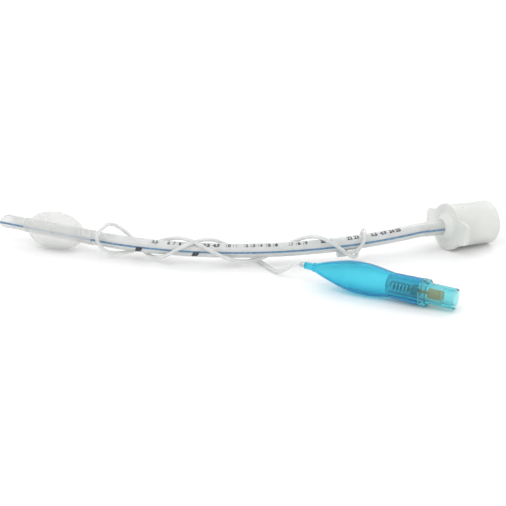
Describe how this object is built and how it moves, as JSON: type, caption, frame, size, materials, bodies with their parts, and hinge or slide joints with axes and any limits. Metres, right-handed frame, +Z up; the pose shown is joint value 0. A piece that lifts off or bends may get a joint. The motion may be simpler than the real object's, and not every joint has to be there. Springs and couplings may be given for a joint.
{
  "type": "endotracheal tube",
  "caption": "Cuffed tracheal tube: curved clear tube with a bevelled tip and blue stripe, eared cone connector, inflation line, pilot balloon and sprung check valve.",
  "frame": {"origin": "on the table, under the middle of the tube, cuff and connector as they lie", "axes": "+X from the patient end to the connector, +Y toward the hollow side of the bend, +Z up from the table"},
  "size_m": [0.1796, 0.0762, 0.0168],
  "materials": {
    "tube_pvc": "clear plasticised PVC, smooth and slightly cloudy",
    "radiopaque_blue": "blue barium-filled stripe in the wall",
    "bond_clear": "cured clear bond",
    "cuff_film": "thin clear inflated film with a soft sheen",
    "connector_white": "translucent natural polypropylene, moulded",
    "line_pvc": "clear limp PVC line",
    "ferrule_clear": "clear flared sleeve",
    "pilot_blue": "clear bright blue film and sleeve",
    "valve_teal": "clear teal moulding",
    "plunger_amber": "amber brown moulded plunger",
    "seal_green": "dark green elastomer",
    "spring_steel": "drawn stainless wire"
  },
  "bodies": {
    "tube_set": {"tube_shaft": "tube_pvc", "radiopaque_line": "radiopaque_blue", "lumen_plug": "bond_clear", "cuff": "cuff_film", "connector": "connector_white", "line_bond": "bond_clear", "inflation_line": "line_pvc", "line_ferrule": "ferrule_clear", "pilot_balloon": "pilot_blue", "valve_body": "valve_teal", "valve_spring": "spring_steel"},
    "valve_plunger": {"valve_poppet": "plunger_amber", "valve_seal": "seal_green"}
  },
  "joints": [
    {"name": "valve_plunger_slide", "type": "slide", "parent": "tube_set", "child": "valve_plunger", "axis": [-0.8822, 0.4691, 0.041], "range_m": [0, 0.0012], "stiffness_N_per_m": 300, "springref_m": -0.001, "deforming": ["valve_spring"]}
  ]
}
